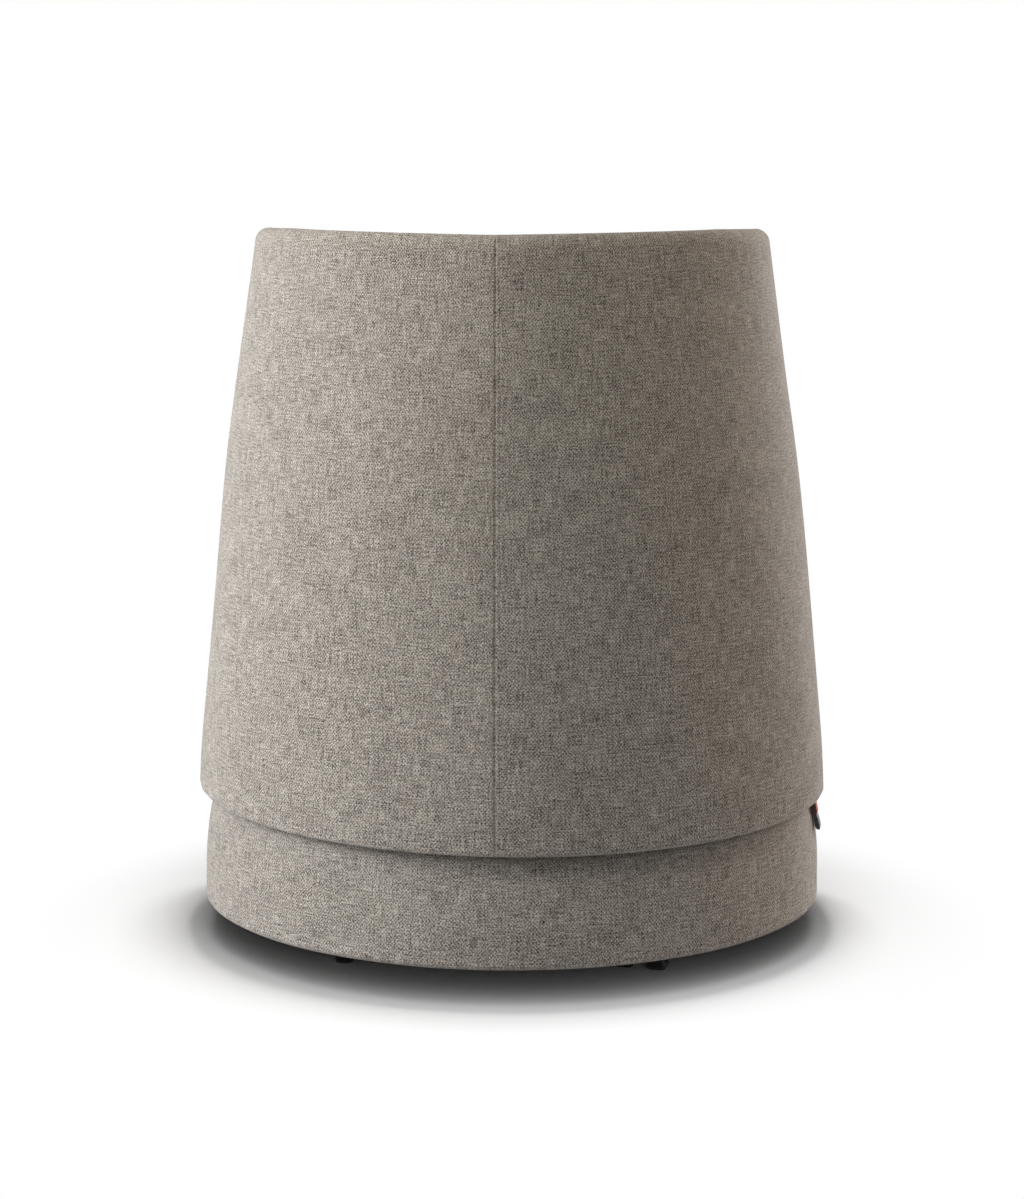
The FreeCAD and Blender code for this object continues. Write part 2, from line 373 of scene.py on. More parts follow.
def finishPiece(piece, material, body, replaced):
    piece.data.materials.clear()
    piece.data.materials.append(material)
    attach(piece, body)
    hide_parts(*replaced)


def softMax(value, spread):
    # max(0, value) with a rounded corner
    return 0.5 * (value + math.hypot(value, spread))


def waves(shape, angle, height):
    # shallow waves over a cover: depth, count round the axis, slant and start of each
    return sum(deep * math.sin(count * angle + slant * height + start) for deep, count, slant, start in shape)


# Drum side

drum = {
    "radius": 0.3057,
    "bottom": 0.034,
    "edgeRound": 0.0055,
    "shoulder": 0.082,
    "shoulderSpread": 0.018,
    "taper": 0.130,
    "rim": 0.420,
    "rimRound": 0.005,
    "wall": 0.2537,
    "skirt": 0.2887,
    "baseTop": 0.072,
    "foldHeight": 0.05,     # below this the cloth map turns in under the drum
    "waves": ((0.0005, 5, 9, 1.0), (0.0003, 13, -21, 0.0)),
    "calm": 0.03,           # the waves die out this close to the hem
    "tuck": 0.0025,         # the cover is pulled in under the hem
    "tuckWidth": 0.016,
    "crease": 0.0050,       # and creased right at it
    "creaseWidth": 0.0045,
    "creaseFade": 0.05,     # the crease ends this far in front of the middle
    "fineStep": 0.0012,     # rows at the hem
    "rows": 80,
    "columns": 300,
}


def drumSide(height):
    return drum["radius"] - drum["taper"] * softMax(height - drum["shoulder"], drum["shoulderSpread"])


def arc(centreR, centreZ, reachR, reachZ, start, end, steps):
    # points of a quarter round in radius and height
    points = []
    for i in range(steps + 1):
        angle = math.radians(start + (end - start) * i / steps)
        points.append((centreR + reachR * math.cos(angle), centreZ + reachZ * math.sin(angle)))
    return points


def drumSection():
    d = drum
    edge = d["edgeRound"]
    rim = d["rimRound"]
    outline = arc(d["skirt"] + edge, d["bottom"] + edge, edge, edge, 180, 270, 6)
    outline += arc(d["radius"] - edge, d["bottom"] + edge, edge, edge, 270, 360, 8)
    low = d["bottom"] + edge
    high = d["rim"] - rim
    heights = [back["hem"] + d["fineStep"] * i for i in range(-13, 10)]
    fineFrom = heights[0] - 0.002
    fineTo = heights[-1] + 0.004
    for i in range(1, d["rows"]):
        height = low + (high - low) * i / d["rows"]
        if height < fineFrom or height > fineTo:
            heights.append(height)
    outline += [(drumSide(height), height) for height in sorted(heights)]
    outline += arc(drumSide(high) - rim, high, rim, rim, 0, 90, 5)
    outline += [(d["wall"], d["rim"] - 0.0002), (d["wall"], d["baseTop"]), (d["skirt"], d["baseTop"])]
    return outline


def makeDrum():
    d = drum
    outline = drumSection()
    count = d["columns"]
    points = []
    for j in range(count):
        angle = 2 * math.pi * j / count
        for radius, height in outline:
            aboveHem = height - back["hem"]
            swell = waves(d["waves"], angle, height) * min(1.0, abs(aboveHem) / d["calm"])
            swell -= d["tuck"] * math.exp(-(aboveHem / d["tuckWidth"]) ** 2)
            aboveHem -= hemLift(radius * math.sin(angle))
            behind = min(1.0, max(0.0, 1 + radius * math.cos(angle) / d["creaseFade"]))
            swell -= d["crease"] * behind * math.exp(-(aboveHem / d["creaseWidth"]) ** 2)
            onOutside = radius > drumSide(height) - 0.004
            r = radius + (swell if onOutside else 0.0)
            points.append((r * math.sin(angle), r * math.cos(angle), height))
    rows = len(outline)
    faces = []
    for j in range(count):
        for i in range(rows):
            a = j * rows + i
            b = j * rows + (i + 1) % rows
            nextColumn = ((j + 1) % count - j) * rows
            faces.append((a, b, b + nextColumn, a + nextColumn))
    piece = newPiece("drumSide", points, faces)
    closeUp(piece)
    layCloth(piece, d["radius"], d["foldHeight"])
    smooth(piece, 50)
    finishPiece(piece, greyCloth, rootBody, ["drum_cover"])


# Back rest: two outer panels that meet in the middle seam

back = {
    "hem": 0.141,
    "hemRound": 0.0035,
    "hemTilt": 0.0105,      # the hem hangs a little lower on the right
    "hemRise": 0.034,       # and is drawn up towards both sides
    "hemReach": 0.03,       # how far up the hem's lift is felt
    "hemRadius": 0.3107,
    "foldHeight": 0.16,     # below this the cloth map turns in under the hem
    "shoulder": 0.176,
    "lowerTaper": 0.1075,
    "knee": 0.470,
    "upperTaper": 0.1385,
    "bendSpread": 0.030,    # both slopes start softly
    "top": 0.6955,
    "rimRound": 0.0120,
    "rimCrest": 0.2360,
    "creaseDepth": 0.006,
    "middleSag": 0.0016,    # the rim sags over the seam
    "endSag": 0.0041,       # and falls away to the front ends
    "padRadius": 0.2288,
    "padBottom": 0.4404,
    "frontFoot": (-0.130, 0.125),       # along Y and up
    "frontHead": (-0.006, 0.6995),
    "footRound": 0.060,
    "headRound": 0.034,
    "edgeDepth": 0.016,
    "waves": ((0.0006, 6, 12, 0.0), (0.0004, 11, -17, 0.7)),
    "calm": 0.03,
    "rows": 110,
    "columns": 120,
}


def backSide(height):
    b = back
    radius = b["hemRadius"] - b["lowerTaper"] * softMax(height - b["shoulder"], b["bendSpread"])
    return radius - (b["upperTaper"] - b["lowerTaper"]) * softMax(height - b["knee"], b["bendSpread"])


def hemLift(x):
    return back["hemTilt"] * x + back["hemRise"] * x ** 2


def frontEdge(height):
    # how far forward the back rest reaches at a height
    footY, footZ = back["frontFoot"]
    headY, headZ = back["frontHead"]
    length = math.hypot(headY - footY, headZ - footZ)
    lean = (headY - footY) / length
    rise = (headZ - footZ) / length
    for level, corner, sign in ((footZ, back["footRound"], 1), (headZ, back["headRound"], -1)):
        centreZ = level + sign * corner
        along = (centreZ + lean * corner - footZ) / rise
        centreY = footY + lean * along + rise * corner
        touch = centreZ + corner * lean
        if sign * (height - touch) < 0:
            return centreY - math.sqrt(max(0.0, corner ** 2 - (height - centreZ) ** 2))
    return footY + (height - footZ) * lean / rise


def sag(angle, height):
    # how far the rim and the cover under it have sunk
    middle = back["middleSag"] * max(0.0, 1 - angle / 0.8) ** 2
    ends = back["endSag"] * max(0.0, (angle - 1.0) / 0.57)
    return (middle + ends) * max(0.0, (height - back["knee"]) / (back["top"] - back["knee"]))


def panelLevels():
    b = back
    hemTop = b["hem"] + b["hemRound"]
    rimLow = b["top"] - b["rimRound"]
    levels = [hemTop - b["hemRound"] * math.cos(math.radians(15 * i)) for i in range(6)]
    levels += [hemTop + (rimLow - hemTop) * i / b["rows"] for i in range(b["rows"])]
    levels += [rimLow + b["rimRound"] * math.sin(math.radians(90 * i / 9)) for i in range(10)]
    return levels


def panelSection():
    # (height, outside radius, inside radius) from the hem to the rim
    b = back
    section = []
    rimLow = b["top"] - b["rimRound"]
    for height in panelLevels():
        outside = backSide(height)
        drop = b["hem"] + b["hemRound"] - height
        if drop > 0:
            outside += math.sqrt(max(0.0, b["hemRound"] ** 2 - drop ** 2)) - b["hemRound"]
        inside = drumSide(height) + 0.0002 if height < b["padBottom"] else b["padRadius"]
        if height > rimLow:
            bend = math.sqrt(max(0.0, 1 - ((height - rimLow) / b["rimRound"]) ** 2))
            outside = b["rimCrest"] + (outside - b["rimCrest"]) * bend
            fall = max(0.0, 1 - (b["top"] - height) / b["creaseDepth"])
            inside = b["rimCrest"] - (b["rimCrest"] - inside) * math.sqrt(max(0.0, 1 - fall ** 2))
        section.append((height, outside, min(inside, outside)))
    return section


seam = {
    "fine": 0.012,         # width of the finely divided strip beside the seam
    "steps": 30,
    "dip": 0.0013,
    "dipWidth": 0.0010,
    "stitchLine": 0.0048,  # the right panel is turned under and stitched down here
    "stitchDip": 0.00025,
    "stitchWidth": 0.0008,
    "pucker": 0.00020,     # pulled by the stitches
    "puckerPitch": 0.021,
    "puckerReach": 0.012,
    "hemRipple": 0.00030,
    "hemRipples": 41,      # to a full turn
    "rippleReach": 0.014,
    "offset": 0.0027,      # the seam sits this far to the right at the rim
    "lean": 0.0036,        # and runs off by this much more at the hem
}


def seamRelief(distance, side):
    # both panels dip into the seam
    dip = -seam["dip"] * math.exp(-(distance / seam["dipWidth"]) ** 2)
    if side < 0:
        dip -= seam["stitchDip"] * math.exp(-((distance - seam["stitchLine"]) / seam["stitchWidth"]) ** 2)
    return dip


def panelSwell(angle, height, distance):
    # slack and puckers of a hand-stretched cover
    s = seam
    aboveHem = height - back["hem"]
    slack = waves(back["waves"], angle, height) * min(1.0, aboveHem / back["calm"])
    pucker = s["pucker"] * math.sin(height * 2 * math.pi / s["puckerPitch"])
    pucker *= math.exp(-distance / s["puckerReach"])
    ripple = s["hemRipple"] * math.sin(angle * s["hemRipples"]) * math.exp(-aboveHem / s["rippleReach"])
    return slack + pucker + ripple


def makePanel(side, name, material, replaced):
    section = panelSection()
    levels = len(section)
    columns = []                                # each column is one upright slice through the panel
    startAngle = seam["fine"] / cloth["wrapRadius"]
    for i in range(seam["steps"] + 1):
        columns.append(("angle", startAngle * i / seam["steps"]))
    for i in range(1, back["columns"] + 1):
        columns.append(("share", i / back["columns"]))
    for i in range(1, 9):
        columns.append(("round", math.radians(90 * i / 8)))
    points = []
    for kind, value in columns:
        for outer in (True, False):
            for height, outside, inside in section:
                middle = 0.5 * (outside + inside)
                half = 0.5 * (outside - inside)
                depth = min(back["edgeDepth"], 0.9 * half)
                turned = value if kind == "round" else 0.0
                r = middle + (half if outer else -half) * math.cos(turned)
                y = frontEdge(height) + depth * (1 - math.sin(turned))
                endAngle = math.acos(max(-1.0, min(1.0, y / r)))
                angle = endAngle
                drop = (back["top"] - height) / (back["top"] - back["hem"])
                seamAngle = -side * (seam["offset"] + seam["lean"] * drop) / outside
                if kind == "angle":
                    angle = seamAngle + value
                elif kind == "share":
                    angle = seamAngle + startAngle + (endAngle - seamAngle - startAngle) * value
                if outer and kind != "round":
                    distance = (angle - seamAngle) * cloth["wrapRadius"]
                    endFade = min(1.0, (endAngle - angle) / 0.1)
                    rimFade = min(1.0, (back["top"] - height) / back["rimRound"])
                    swell = panelSwell(side * angle, height, distance) * endFade
                    r += (seamRelief(distance, side) + swell) * rimFade
                x = side * r * math.sin(angle)
                lift = hemLift(x) * math.exp(-(height - back["hem"]) / back["hemReach"])
                points.append((x, r * math.cos(angle), height + lift - sag(abs(angle), height)))
    faces = []
    ring = 2 * levels
    for j in range(len(columns) - 1):
        for offset in (0, levels):
            for i in range(levels - 1):
                a = j * ring + offset + i
                faces.append((a, a + 1, a + 1 + ring, a + ring))
        for i in (0, levels - 1):
            a = j * ring + i
            b = a + levels
            faces.append((a, b, b + ring, a + ring))
    for i in range(levels - 1):
        faces.append((i, i + 1, levels + i + 1, levels + i))
    piece = newPiece(name, points, faces)
    closeUp(piece)
    layCloth(piece, back["hemRadius"], back["foldHeight"])
    smooth(piece, 50)
    finishPiece(piece, material, rootBody, [replaced])


makeDrum()
print("drum side done")
makePanel(1, "backPanelLeft", greyCloth, "back_panel_left")
# the right panel gets the cloth copy with painted shade
makePanel(-1, "backPanelRight", greyClothPaintedShade, "back_panel_right")
print("outer panels done")


# Cloth simulation for the seat cushion and the inner pad

softening = {"voxel": 0.005, "pressure": 4.0, "frames": 20, "stretch": 15, "bending": 0.5}


def inflate(piece, held, limit, cap):
    # swells a closed shape as stuffed cloth; held(point) pins a point, limit(point) keeps it in its space
    activate(piece)
    remesh = piece.modifiers.new("even", "REMESH")
    remesh.mode = "VOXEL"
    remesh.voxel_size = softening["voxel"]
    bpy.ops.object.modifier_apply(modifier=remesh.name)
    pins = piece.vertex_groups.new(name="pins")
    fixed = [v.index for v in piece.data.vertices if held(v.co)]
    pins.add(fixed, 1.0, "REPLACE")
    start = [v.co.copy() for v in piece.data.vertices]
    cover = piece.modifiers.new("cover", "CLOTH")
    settings = cover.settings
    settings.quality = 5
    settings.mass = 0.3
    settings.tension_stiffness = softening["stretch"]
    settings.compression_stiffness = softening["stretch"]
    settings.bending_stiffness = softening["bending"]
    settings.use_pressure = True
    settings.uniform_pressure_force = softening["pressure"]
    settings.effector_weights.gravity = 0
    settings.vertex_group_mass = pins.name
    cover.collision_settings.use_collision = False
    cover.point_cache.frame_start = 1
    cover.point_cache.frame_end = softening["frames"]
    for step in range(1, softening["frames"] + 1):
        bpy.context.scene.frame_set(step)
    posed = piece.evaluated_get(bpy.context.evaluated_depsgraph_get())
    moved = [v.co.copy() for v in posed.data.vertices]
    piece.modifiers.remove(cover)
    bpy.context.scene.frame_set(1)
    for vertex, before, after in zip(piece.data.vertices, start, moved):
        move = after - before
        if move.length > cap:
            move *= cap / move.length
        vertex.co = limit(before + move)
    piece.vertex_groups.clear()
    relax = piece.modifiers.new("relax", "SMOOTH")
    relax.factor = 0.5
    relax.iterations = 4
    bpy.ops.object.modifier_apply(modifier=relax.name)
    finer = piece.modifiers.new("finer", "SUBSURF")
    finer.levels = 1
    finer.render_levels = 1
    bpy.ops.object.modifier_apply(modifier=finer.name)


seat = {
    "bottom": 0.374,
    "foamRadius": 0.2525,
    "seamHeight": 0.4180,   # sunk a little into the drum's rim
    "seamRadius": 0.2592,
    "shoulderWidth": 0.018,
    "shoulderHeight": 0.013,
    "crown": 0.025,
    "startLow": 0.003,      # the cushion starts this much lower and is swollen to size
    "cap": 0.009,           # no point moves further than this
    "proud": 0.0025,        # how far it may stand over the crown
    "underPad": 0.0002,     # and that much where the pad rests on it
    "clearOfPad": 0.2000,
    "frontFrom": -0.02,
    "columns": 96,
}


def seatTop(radius):
    reach = seat["seamRadius"] - seat["shoulderWidth"]
    ball = (reach ** 2 + seat["crown"] ** 2) / (2 * seat["crown"])
    centre = drum["rim"] + seat["shoulderHeight"] + seat["crown"] - ball
    return centre + math.sqrt(max(0.0, ball ** 2 - radius ** 2))


def makeSeat():
    s = seat
    foam = s["foamRadius"]
    outline = [(0.0, s["bottom"]), (foam - 0.01, s["bottom"]), (foam, s["bottom"] + 0.01)]
    outline += [(foam, s["seamHeight"] - 0.003), (s["seamRadius"], s["seamHeight"])]
    reach = s["seamRadius"] - s["shoulderWidth"]
    rise = seatTop(reach) - s["startLow"] - s["seamHeight"]
    for i in range(1, 7):
        turn = math.radians(90 * i / 6)
        outline.append((reach + s["shoulderWidth"] * math.cos(turn), s["seamHeight"] + rise * math.sin(turn)))
    for i in range(1, 13):
        radius = reach * (1 - i / 12)
        outline.append((radius, seatTop(radius) - s["startLow"]))
    count = s["columns"]
    rows = len(outline)
    points = []
    for j in range(count):
        angle = 2 * math.pi * j / count
        points += [(r * math.sin(angle), r * math.cos(angle), z) for r, z in outline]
    faces = []
    for j in range(count):
        for i in range(rows - 1):
            a = j * rows + i
            b = ((j + 1) % count) * rows + i
            faces.append((a, a + 1, b + 1, b))
    piece = newPiece("seatCushion", points, faces)
    closeUp(piece)

    def held(point):
        return point.z < s["seamHeight"] + 0.001

    def limit(point):
        radius = math.hypot(point.x, point.y)
        free = point.y < s["frontFrom"] or radius < s["clearOfPad"]
        point.z = min(point.z, seatTop(radius) + (s["proud"] if free else s["underPad"]))
        return point

    inflate(piece, held, limit, s["cap"])
    layCloth(piece, flat=True)
    smooth(piece, 60)
    finishPiece(piece, greyCloth, rootBody, ["seat_cover", "seat_foam"])


makeSeat()
print("seat cushion done")


pad = {
    "back": 0.2284,
    "face": 0.2120,
    "bottom": 0.4370,       # rests on the seat
    "top": 0.6935,
    "cornerRound": 0.0085,
    "edgeDepth": 0.012,
    "setBack": 0.0015,      # from the panels' front edges
    "startThin": 0.0015,    # starts this much thinner and is swollen to size
    "cap": 0.006,
    "swell": 0.0035,
    "foldHeight": 0.56,
    "rows": 40,
    "columns": 70,          # to each side of the middle
}


def makePad():
    p = pad
    face = p["face"] + p["startThin"]
    middle = 0.5 * (p["back"] + face)
    half = 0.5 * (p["back"] - face)
    corner = p["cornerRound"]
    straight = p["top"] - p["bottom"] - 2 * corner
    levels = [p["bottom"] + corner * (1 - math.cos(math.radians(90 * i / 6))) for i in range(7)]
    levels += [p["bottom"] + corner + straight * i / p["rows"] for i in range(1, p["rows"])]
    levels += [p["top"] - corner * (1 - math.sin(math.radians(90 * i / 6))) for i in range(7)]
    columns = [(i / p["columns"], 0.0) for i in range(-p["columns"], p["columns"] + 1)]
    columns = [(-1.0, 90 - 15 * i) for i in range(6)] + columns + [(1.0, 15 * i) for i in range(1, 7)]
    points = []
    for share, turn in columns:
        turn = math.radians(turn)
        for outer in (1, -1):
            for height in levels:
                fromEnd = min(height - p["bottom"], p["top"] - height)
                bend = math.sqrt(max(0.0, 1 - (1 - min(1.0, fromEnd / corner)) ** 2))
                r = middle + outer * half * bend * math.cos(turn)
                y = frontEdge(height) + p["edgeDepth"] * bend * (1 - math.sin(turn)) + p["setBack"]
                angle = math.acos(max(-1.0, min(1.0, y / r))) * share
                points.append((r * math.sin(angle), r * math.cos(angle), height - sag(abs(angle), height)))
    count = len(levels)
    ring = 2 * count
    faces = []
    for j in range(len(columns) - 1):
        for offset in (0, count):
            for i in range(count - 1):
                a = j * ring + offset + i
                faces.append((a, a + 1, a + 1 + ring, a + ring))
    piece = newPiece("innerPad", points, faces)
    closeUp(piece)

    def held(point):
        return math.hypot(point.x, point.y) > middle + 0.5 * half

    def limit(point):
        radius = max(1e-6, math.hypot(point.x, point.y))
        wanted = min(max(radius, p["face"] - p["swell"]), p["back"])
        point.x *= wanted / radius
        point.y *= wanted / radius
        point.z = min(max(point.z, p["bottom"]), p["top"])
        return point

    inflate(piece, held, limit, p["cap"])
    layCloth(piece, p["face"], p["foldHeight"])
    smooth(piece, 60)
    finishPiece(piece, greyCloth, rootBody, ["back_inner_pad"])


makePad()
print("inner pad done")


# Castors: two wheels each, on a bracket that swivels

castor = {
    "names": ("rear_left", "side_left", "front", "side_right", "rear_right"),
    "circle": 0.224,
    "headings": (4.0, 9.0, -6.0, -8.0, -13.0),
    "trail": 0.014,
    "wheelRadius": 0.020,
    "wheelWidth": 0.017,
    "wheelGap": 0.015,
    "treadRound": 0.0032,
    "hubRadius": 0.0125,
    "hubDepth": 0.0014,
    "hubBevel": 0.0008,
    "capShare": 0.45,       # of the hub, left flat round the cap
    "capBevel": 0.0007,
    "axleRadius": 0.0025,
    "bossRadius": 0.0055,   # round the axle on the inside
    "bossBevel": 0.0002,
    "bossDepth": 0.0003,
    "sidePlay": 0.0005,
}


def selectFaces(mesh, wanted):
    # selects the faces for which wanted(centre, normal) holds, in edit mode
    edit = bmesh.from_edit_mesh(mesh)
    for face in edit.faces:
        face.select_set(wanted(face.calc_center_median(), face.normal))
    edit.select_flush_mode()
    bmesh.update_edit_mesh(mesh)


def modelWheel(side):
    # one wheel with its stub axle, along X, the outer face on the given side
    c = castor
    deselect()
    middle = side * (0.5 * c["wheelGap"] + 0.5 * c["wheelWidth"])
    bpy.ops.mesh.primitive_cylinder_add(
        vertices=64, radius=c["wheelRadius"], depth=c["wheelWidth"],
        location=(middle, 0, 0), rotation=(0, math.radians(90), 0))
    wheel = bpy.context.object
    bpy.ops.object.transform_apply(location=True, rotation=True, scale=True)
    bpy.ops.object.mode_set(mode="EDIT")
    bpy.ops.mesh.select_mode(type="FACE")
    selectFaces(wheel.data, lambda centre, normal: abs(normal.x) > 0.9)
    bpy.ops.mesh.bevel(offset=c["treadRound"], segments=4, affect="EDGES")
    flatFace = c["wheelRadius"] - c["treadRound"]
    selectFaces(wheel.data, lambda centre, normal: normal.x * side > 0.99 and abs(centre.x) > abs(middle))
    bpy.ops.mesh.inset(thickness=flatFace - c["hubRadius"])
    bpy.ops.mesh.inset(thickness=c["hubBevel"], depth=-c["hubDepth"])
    bpy.ops.mesh.inset(thickness=c["hubRadius"] * c["capShare"])
    bpy.ops.mesh.inset(thickness=c["capBevel"], depth=0.5 * c["hubDepth"])
    selectFaces(wheel.data, lambda centre, normal: normal.x * side < -0.99)
    bpy.ops.mesh.inset(thickness=flatFace - c["bossRadius"])
    bpy.ops.mesh.inset(thickness=c["bossBevel"], depth=-c["bossDepth"])

    def isBoss(centre, normal):
        return normal.x * side < -0.99 and centre.yz.length < 2 * c["axleRadius"]

    selectFaces(wheel.data, isBoss)
    bpy.ops.mesh.inset(thickness=c["bossRadius"] - c["axleRadius"] - c["bossBevel"])
    stub = 0.5 * c["wheelGap"] - 0.5 * c["sidePlay"] + c["bossDepth"]
    bpy.ops.mesh.extrude_region_move(TRANSFORM_OT_translate={"value": (-side * stub, 0, 0)})
    bpy.ops.mesh.select_all(action="SELECT")
    bpy.ops.mesh.normals_make_consistent(inside=False)
    bpy.ops.object.mode_set(mode="OBJECT")
    return wheel


def makeWheels():
    c = castor
    models = {"wheel_left": modelWheel(1), "wheel_right": modelWheel(-1)}
    for index, name in enumerate(c["names"]):
        angle = 2 * math.pi / len(c["names"]) * (index + 0.5)
        pivot = Vector((c["circle"] * math.sin(angle), c["circle"] * math.cos(angle), 0))
        turn = Matrix.Rotation(math.radians(c["headings"][index]), 4, "Z")
        place = Matrix.Translation(pivot) @ turn @ Matrix.Translation((0, -c["trail"], c["wheelRadius"]))
        for part, model in models.items():
            node = name + "_castor_" + part
            wheel = model.copy()
            wheel.data = model.data.copy()
            wheel.name = node.replace("_castor_", "Castor_") + "_tyre"
            bpy.context.scene.collection.objects.link(wheel)
            wheel.data.transform(place)
            smooth(wheel, 35)
            finishPiece(wheel, plastic, node, [node])
    for model in models.values():
        bpy.data.objects.remove(model)


makeWheels()
print("castor wheels done")


# Pull tab under the hem: a leather tongue in a folded ribbon

tab = {
    "angle": 84.0,
    "tilt": 13.5,
    "width": 0.014,
    "length": 0.037,
    "tongueThick": 0.0034,
    "tipThick": 0.0050,
    "tipFrom": 0.82,        # the tip's corners are rounded from here down
    "ribbonThick": 0.0011,
    "ribbonLength": 0.0195,
    "ribbonBelly": 0.0003,  # the outer layer bulges
    "sewnIn": 0.002,
    "drumGap": -0.0022,     # the cover is tucked in there
}


def hangTab(piece):
    inside = drumSide(back["hem"]) + tab["drumGap"] + tab["ribbonThick"]
    place = Matrix.Rotation(math.radians(90 + tab["angle"]), 4, "Z")
    place = place @ Matrix.Translation((inside, 0, back["hem"]))
    place = place @ Matrix.Rotation(math.radians(-tab["tilt"]), 4, "Y")
    piece.data.transform(place)


def tabStrip(name, thick, top, length, out):
    # a flat strip hanging from the origin, its faces towards X
    deselect()
    bpy.ops.mesh.primitive_cube_add(size=1, location=(out, 0, 0.5 * (top - length)))
    strip = bpy.context.object
    strip.name = name
    strip.scale = (thick, tab["width"], top + length)
    bpy.ops.object.transform_apply(location=True, rotation=True, scale=True)
    bpy.ops.object.mode_set(mode="EDIT")
    bpy.ops.mesh.select_all(action="SELECT")
    bpy.ops.mesh.subdivide(number_cuts=15)
    bpy.ops.object.mode_set(mode="OBJECT")
    return strip


def makeTab():
    t = tab
    half = 0.5 * t["tongueThick"]
    tongue = tabStrip("tabTongue", t["tongueThick"], 0.0, t["length"], half)
    for vertex in tongue.data.vertices:
        down = -vertex.co.z / t["length"]
        below = max(0.0, -vertex.co.z - t["ribbonLength"]) / (t["length"] - t["ribbonLength"])
        thick = 1 + (t["tipThick"] / t["tongueThick"] - 1) * math.sin(0.5 * math.pi * below)
        reach = max(0.0, (down - t["tipFrom"]) / (1 - t["tipFrom"]))
        bend = math.sqrt(max(0.12, 1 - 0.8 * reach ** 2))
        vertex.co.x = half + (vertex.co.x - half) * thick * bend
        vertex.co.y *= bend
    hangTab(tongue)
    ribbons = []
    for out in (-0.5 * t["ribbonThick"], t["tongueThick"] + 0.5 * t["ribbonThick"]):
        ribbon = tabStrip("tabRibbon", t["ribbonThick"], t["sewnIn"], t["ribbonLength"], out)
        for vertex in ribbon.data.vertices:
            down = min(1.0, max(0.0, -vertex.co.z / t["ribbonLength"]))
            if out > 0:
                vertex.co.x += t["ribbonBelly"] * math.sin(math.pi * down)
        hangTab(ribbon)
        ribbons.append(ribbon)
    deselect()
    for ribbon in ribbons:
        ribbon.select_set(True)
    bpy.context.view_layer.objects.active = ribbons[0]
    bpy.ops.object.join()
    ribbon = bpy.context.object
    for piece, width in ((tongue, 0.0006), (ribbon, 0.0003)):
        activate(piece)
        soften = piece.modifiers.new("soften", "BEVEL")
        soften.width = width
        soften.segments = 3
        soften.limit_method = "ANGLE"
        bpy.ops.object.modifier_apply(modifier=soften.name)
        smooth(piece, 40)
    finishPiece(tongue, leather, rootBody, ["pull_tab_tongue"])
    finishPiece(ribbon, ribbonRed, rootBody, ["pull_tab_ribbon"])


makeTab()
print("pull tab done")


# Finishes of the CAD nodes that show as they are

nodeFinishes = {
    "base_board": plywood,
    "drum_posts": plywood,
    "seat_deck": plywood,
    "back_slats": plywood,
    "castor_plates": zinc,
}


def dressNodes():
    for name, node in nodes.items():
        if node.hide_render:
            continue
        node.data.materials.clear()
        node.data.materials.append(nodeFinishes.get(name, plastic))     # the castor brackets are plastic


dressNodes()
print("frame dressed")


# Studio: floor, background, lamps and camera

studio = {
    "floorSize": 24.0,
    "floorWhite": 0.90,
    "floorBounce": 0.50,    # what the floor throws back at the pouf
    "clearFrom": 0.33,      # distance from the middle where the floor starts to fade to plain white
    "clearTo": 0.50,
    "ambient": 0.04,
}


def seenRays(tree):
    # 1 where the camera, a reflection or glass looks
    rays = tree.nodes.new("ShaderNodeLightPath").outputs
    return Wire(rays["Is Camera Ray"]) + Wire(rays["Is Glossy Ray"]) + Wire(rays["Is Transmission Ray"])


def makeFloor():
    deselect()
    bpy.ops.mesh.primitive_plane_add(size=studio["floorSize"], location=(0, 0, 0))
    floor = bpy.context.object
    floor.name = "studioFloor"
    f = Finish("studio_floor")
    place = f.add("ShaderNodeTexCoord", output=3)
    reach = f.add("ShaderNodeVectorMath", {"operation": "LENGTH"}, {0: place}, output=1)
    far = f.step(reach, studio["clearFrom"], studio["clearTo"])
    seen = seenRays(f.tree)
    white = f.add("ShaderNodeEmission", sockets={"Color": (1, 1, 1, 1), "Strength": 1.0})
    bounce = (studio["floorBounce"],) * 3 + (1.0,)
    pale = (studio["floorWhite"],) * 3 + (1.0,)
    f.set(Base_Color=f.mix(seen, bounce, pale), Roughness=0.9, Specular_IOR_Level=0.0)
    blend = f.add("ShaderNodeMixShader", sockets={0: far * seen, 1: Wire(f.skin.outputs[0]), 2: white})
    plug(f.tree.nodes["Material Output"].inputs["Surface"], blend)
    floor.data.materials.append(f.material)


def makeWorld():
    world = bpy.data.worlds.new("studio")
    bpy.context.scene.world = world
    world.use_nodes = True
    tree = world.node_tree
    strength = seenRays(tree) * (1 - studio["ambient"]) + studio["ambient"]
    shade = tree.nodes["Background"]
    shade.inputs["Color"].default_value = (1, 1, 1, 1)
    plug(shade.inputs["Strength"], strength)


warmWhite = (1.0, 0.92, 0.79)
lampWhite = (1.0, 1.0, 1.0)
lampAmber = (1.0, 0.72, 0.50)

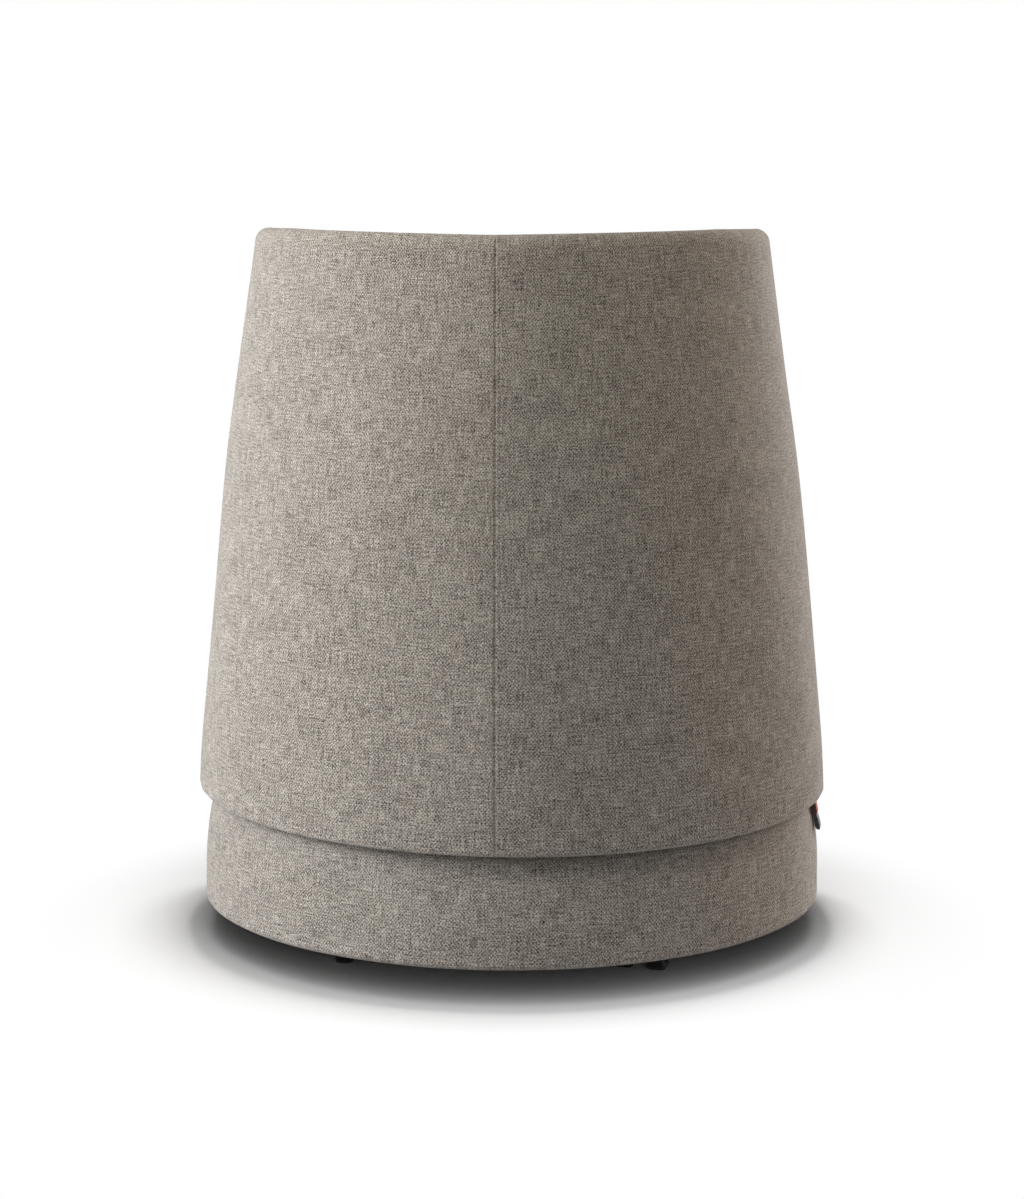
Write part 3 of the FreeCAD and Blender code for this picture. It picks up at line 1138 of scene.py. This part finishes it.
# for each lamp: turn from the camera's side towards the left of the picture, reach, height, size, power,
# colour, and whether it leaves out the floor or lights nothing else
lamps = {
    "leftLamp": (80, 2.1, 0.9, (1.1, 1.5), 45, lampWhite, "EXCLUDE"),
    "leftFrontLamp": (55, 2.1, 1.7, (1.1, 1.1), 8, lampWhite, "EXCLUDE"),
    "leftRearLamp": (135, 2.1, 0.9, (1.1, 1.1), 12, lampWhite, "EXCLUDE"),
    "topLamp": (0, 0.9, 2.5, (1.6, 1.6), 24.5, warmWhite, "EXCLUDE"),
    "rightRearLamp": (-135, 2.1, 0.75, (1.1, 1.1), 31, lampWhite, "EXCLUDE"),
    "rightLamp": (-105, 2.1, 0.75, (1.1, 1.1), 10, lampAmber, "EXCLUDE"),
    "floorLamp": (-90, 0.035, 2.7, (0.36, 0.36), 40, lampWhite, "INCLUDE"),
    "floorTop": (0, 0.9, 2.5, (1.6, 1.6), 23, lampWhite, "INCLUDE"),
    "floorFill": (0, 2.0, 1.2, (1.6, 1.8), 22, lampWhite, "INCLUDE"),
}
lampAim = Vector((0, 0, 0.4))


def linkLamp(holder, state):
    # keeps a lamp off the floor, or on the floor alone
    targets = bpy.data.collections.new(holder.name + "Targets")
    targets.objects.link(bpy.data.objects["studioFloor"])
    targets.collection_objects[0].light_linking.link_state = state
    holder.light_linking.receiver_collection = targets


def makeLamps():
    for name, (turn, reach, height, size, power, colour, floorState) in lamps.items():
        light = bpy.data.lights.new(name, "AREA")
        light.shape = "RECTANGLE"
        light.size, light.size_y = size
        light.energy = power
        light.color = colour
        holder = bpy.data.objects.new(name, light)
        bpy.context.scene.collection.objects.link(holder)
        angle = math.radians(view["azimuth"] - turn)
        holder.location = (reach * math.sin(angle), -reach * math.cos(angle), height)
        holder.rotation_euler = (lampAim - holder.location).to_track_quat("-Z", "Y").to_euler()
        linkLamp(holder, floorState)


view = {"distance": 2.900, "height": 0.797, "azimuth": 184.0, "pitch": 9.23, "lens": 89.0, "sensor": 36.0}


def makeCamera():
    data = bpy.data.cameras.new("photoCamera")
    data.lens = view["lens"]
    data.sensor_width = view["sensor"]
    data.sensor_fit = "AUTO"
    camera = bpy.data.objects.new("photoCamera", data)
    bpy.context.scene.collection.objects.link(camera)
    turn = math.radians(view["azimuth"])
    camera.location = (view["distance"] * math.sin(turn), -view["distance"] * math.cos(turn), view["height"])
    camera.rotation_euler = (math.radians(90 - view["pitch"]), 0, turn)
    bpy.context.scene.camera = camera


makeFloor()
makeWorld()
makeLamps()
makeCamera()
bpy.context.scene.view_settings.view_transform = "Standard"
print("studio ready")
